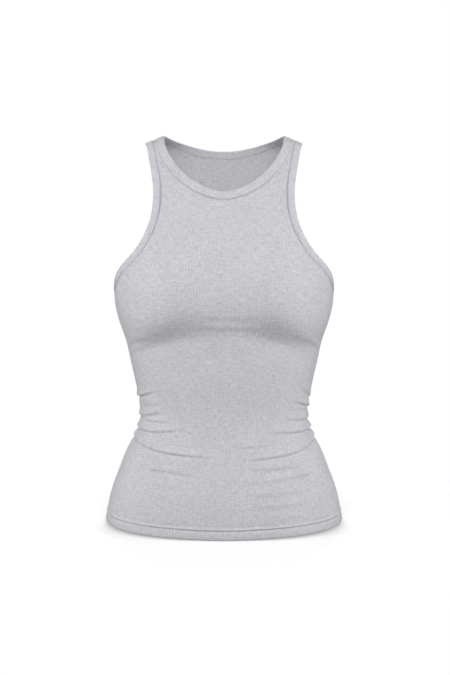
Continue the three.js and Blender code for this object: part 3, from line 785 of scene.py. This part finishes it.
def melange_rib_knit(name, rib_share):
    """Cotton and viscose rib jersey, knitted from melange yarn and lightly brushed: fine ribs with
    painted shade in their valleys and a faint painted highlight on their crests, pale and dark
    fibre flecks along them, no gloss and a faint bloom where the cloth turns away."""
    material, tree = new_material(name)
    place = add_node(tree, "UVMap", uv_map="cloth_mm").outputs["UV"]
    apart = add_node(tree, "SeparateXYZ", {"Vector": place})
    turn = add_node(tree, "Math", {0: apart.outputs["X"], 1: 2 * math.pi / RIB_PITCH},
                    operation="MULTIPLY")
    wave = add_node(tree, "Math", {0: turn.outputs[0]}, operation="COSINE")
    rib = add_node(tree, "MapRange", {"Value": wave.outputs[0], "From Min": -1.0, "From Max": 0.6},
                   interpolation_type="SMOOTHSTEP")
    stretched = add_node(
        tree, "Mapping",
        {"Vector": place, "Scale": (1 / FLECK_WIDTH, 1 / FLECK_LENGTH, 1)},
    )
    fleck = add_node(tree, "TexNoise", {"Vector": stretched.outputs[0], "Scale": 1.0,
                                        "Detail": 3.0, "Roughness": 0.6})
    across = add_node(
        tree, "Mapping",
        {"Vector": place, "Scale": (1 / STREAK_WIDTH, 1 / STREAK_HEIGHT, 1)},
    )
    streak = add_node(tree, "TexNoise", {"Vector": across.outputs[0], "Scale": 1.0,
                                         "Detail": 3.0, "Roughness": 0.55})
    fibres = add_node(tree, "Math", {0: fleck.outputs["Fac"], 1: streak.outputs["Fac"]},
                      operation="ADD")
    melange = add_node(tree, "MapRange", {"Value": fibres.outputs[0], "From Min": 0.7,
                                          "From Max": 1.3})
    cloud = add_node(tree, "TexNoise", {"Vector": place, "Scale": 1 / CLOUD_SIZE, "Detail": 2.0})
    fuzz = add_node(tree, "TexNoise", {"Vector": place, "Scale": 1 / FUZZ_SIZE, "Detail": 2.0})
    yarn = add_node(tree, "Mix", {"Factor": melange.outputs[0], "A": colour("b9b9bf"),
                                  "B": colour("d8d8dd")}, data_type="RGBA")
    # Painted shade in the rib valleys and a painted highlight on the ribs, laid into the base
    # colour.
    valley_painted_shade, rib_painted_highlight = RIB_PAINTED_SHADE_AND_HIGHLIGHT
    rib_painted_light = add_node(tree, "MapRange", {"Value": rib.outputs[0], "To Min": 1 - valley_painted_shade * rib_share,
                                         "To Max": 1 + rib_painted_highlight * rib_share})
    shade = add_node(tree, "MapRange", {"Value": cloud.outputs["Fac"], "From Min": 0.3,
                                        "From Max": 0.7, "To Min": 0.975, "To Max": 1.025})
    # The base colour carries the painted rib shade and highlight, times a slow random cloud in the
    # yarn's colour.
    depth = add_node(tree, "Math", {0: rib_painted_light.outputs[0], 1: shade.outputs[0]},
                     operation="MULTIPLY")
    cloth = add_node(tree, "VectorMath", {0: yarn.outputs["Result"], 3: depth.outputs[0]},
                     operation="SCALE")
    raised = add_node(tree, "Math", {0: rib.outputs[0], 1: rib_share, 2: fuzz.outputs["Fac"]},
                      operation="MULTIPLY_ADD")
    bump = add_node(tree, "Bump", {"Height": raised.outputs[0], "Strength": 0.4,
                                   "Distance": RIB_DEPTH * METRES})
    surface = add_node(tree, "BsdfPrincipled", {
        "Base Color": cloth.outputs[0], "Roughness": 0.95, "IOR": 1.45,
        "Specular IOR Level": 0.15, "Sheen Weight": 0.12, "Sheen Roughness": 0.5,
        "Normal": bump.outputs["Normal"],
    })
    add_node(tree, "OutputMaterial", {"Surface": surface.outputs[0]})
    return material


def spun_thread():
    """Spun polyester sewing thread, dyed to match: a tight twist, with painted shade in its grooves
    and a painted highlight on its crests, and a slight gloss.
    """
    material, tree = new_material("spun_polyester_thread")
    place = add_node(tree, "UVMap", uv_map="cloth_mm").outputs["UV"]
    strands = add_node(tree, "TexWave", {"Vector": place, "Scale": 1.2, "Distortion": 0.4},
                       bands_direction="DIAGONAL")
    # Painted shade and highlight: the thread's colour is dimmer in the grooves of the twist and
    # brighter on its crests, as the bump rises.
    twist_painted_shade_and_highlight = add_node(tree, "Mix", {"Factor": strands.outputs["Fac"], "A": colour("a9a9af"),
                                  "B": colour("c9c9ce")}, data_type="RGBA")
    bump = add_node(tree, "Bump", {"Height": strands.outputs["Fac"], "Strength": 0.4,
                                   "Distance": 0.05 * METRES})
    surface = add_node(tree, "BsdfPrincipled", {
        "Base Color": twist_painted_shade_and_highlight.outputs["Result"], "Roughness": 0.6, "IOR": 1.5,
        "Normal": bump.outputs["Normal"],
    })
    add_node(tree, "OutputMaterial", {"Surface": surface.outputs[0]})
    return material


def matt_paper_floor():
    """White matt studio paper that fades into the white behind it away from the garment."""
    material, tree = new_material("matt_paper_floor")
    place = add_node(tree, "TexCoord").outputs["Object"]
    away = add_node(tree, "VectorMath", {0: place}, operation="LENGTH")
    near, far = PAPER_FADE
    fade = add_node(tree, "MapRange", {"Value": away.outputs["Value"], "From Min": near,
                                       "From Max": far}, interpolation_type="SMOOTHSTEP")
    matt = add_node(tree, "BsdfDiffuse", {"Color": (0.9, 0.9, 0.9, 1)})
    lift = add_node(tree, "Emission", {"Color": (1, 1, 1, 1), "Strength": PAPER_GLOW})
    paper = add_node(tree, "AddShader", {0: matt.outputs[0], 1: lift.outputs[0]})
    clear = add_node(tree, "BsdfTransparent")
    mixed = add_node(tree, "MixShader", {0: fade.outputs[0], 1: paper.outputs[0],
                                         2: clear.outputs[0]})
    add_node(tree, "OutputMaterial", {"Surface": mixed.outputs[0]})
    return material


# Stage

def floor():
    mesh = bpy.data.meshes.new("floor")
    turn = np.linspace(0, 2 * math.pi, FLOOR_SIDES + 1)[:-1]
    rim = np.stack([np.cos(turn), np.sin(turn), np.zeros(len(turn))], -1)
    mesh.from_pydata(rim.tolist(), [], [list(range(len(rim)))])
    mesh.materials.append(matt_paper_floor())
    piece = bpy.data.objects.new("floor", mesh)
    piece.location.z = FLOOR_HEIGHT
    bpy.context.scene.collection.objects.link(piece)
    piece.visible_diffuse = False


def softbox(name, place, width, height, power):
    light = bpy.data.lights.new(name, "AREA")
    light.shape = "RECTANGLE"
    light.size, light.size_y = width, height
    light.energy = power
    lamp = bpy.data.objects.new(name, light)
    lamp.location = place
    towards = Vector(GARMENT_MIDDLE) - Vector(place)
    lamp.rotation_euler = towards.to_track_quat("-Z", "Y").to_euler()
    bpy.context.scene.collection.objects.link(lamp)


def studio():
    """White surroundings in view, with a low even glow, and large softboxes."""
    world = bpy.data.worlds.new("studio")
    bpy.context.scene.world = world
    world.use_nodes = True
    tree = world.node_tree
    tree.nodes.clear()
    seen = add_node(tree, "LightPath").outputs["Is Camera Ray"]
    glow = add_node(tree, "Background", {"Color": (1, 1, 1, 1), "Strength": GLOW})
    white = add_node(tree, "Background", {"Color": (1, 1, 1, 1), "Strength": 1.0})
    mixed = add_node(tree, "MixShader", {0: seen, 1: glow.outputs[0], 2: white.outputs[0]})
    add_node(tree, "OutputWorld", {"Surface": mixed.outputs[0]})
    for name, place, width, height, power in SOFTBOXES:
        softbox(name, place, width, height, power)


def camera():
    lens = bpy.data.cameras.new("camera")
    lens.lens = LENS
    eye = bpy.data.objects.new("camera", lens)
    eye.location = EYE
    eye.rotation_euler = (math.radians(EYE_TILT), 0, 0)
    bpy.context.scene.collection.objects.link(eye)
    bpy.context.scene.camera = eye


def sewn_piece(piece, *nodes):
    """The piece rides with the garment and stands for its CAD nodes."""
    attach(piece, "root")
    if nodes:
        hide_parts(*nodes)
    return piece


camera()
studio()
floor()

knit = melange_rib_knit("melange_rib_knit", 1)
binding_knit = melange_rib_knit("melange_binding_knit", 0.4)
thread = spun_thread()

front = sewn_piece(panel("front", knit), "front")
back = sewn_piece(panel("back", knit), "back")

neck_places = even_places(neck_loop, 0, 4)
neck, _, _ = binding("neck_binding_cloth", neck_loop, neck_places, 1, NECK_BINDING_WIDTH,
                     np.full(len(neck_places), NO_TOPSTITCH), binding_knit)
sewn_piece(neck, "neck_binding")

arm_bindings, arm_stitches = [], []
for side, word in ((1, "left"), (-1, "right")):
    seam = arm_seam(side)
    places = even_places(seam, ARM_START, ARM_END)
    level = height_at(np.abs(seam(places)[1]))
    swing = bell(level - STITCH_INSET_HEIGHT, STITCH_INSET_REACH)
    inset = STITCH_INSET_LEAST + (STITCH_INSET - STITCH_INSET_LEAST) * swing
    name = f"armhole_binding_{word}"
    piece, line, normals = binding(f"{name}_cloth", seam, places, side, ARM_BINDING_WIDTH,
                                   inset, binding_knit)
    arm_bindings.append(sewn_piece(piece, name))
    row = stitches(f"armhole_stitches_{word}", line, normals, thread)
    arm_stitches.append(sewn_piece(row))

hem_stitches = sewn_piece(stitches("hem_stitches", *hem_stitch_line(), thread))

bpy.context.scene.view_settings.view_transform = "Standard"
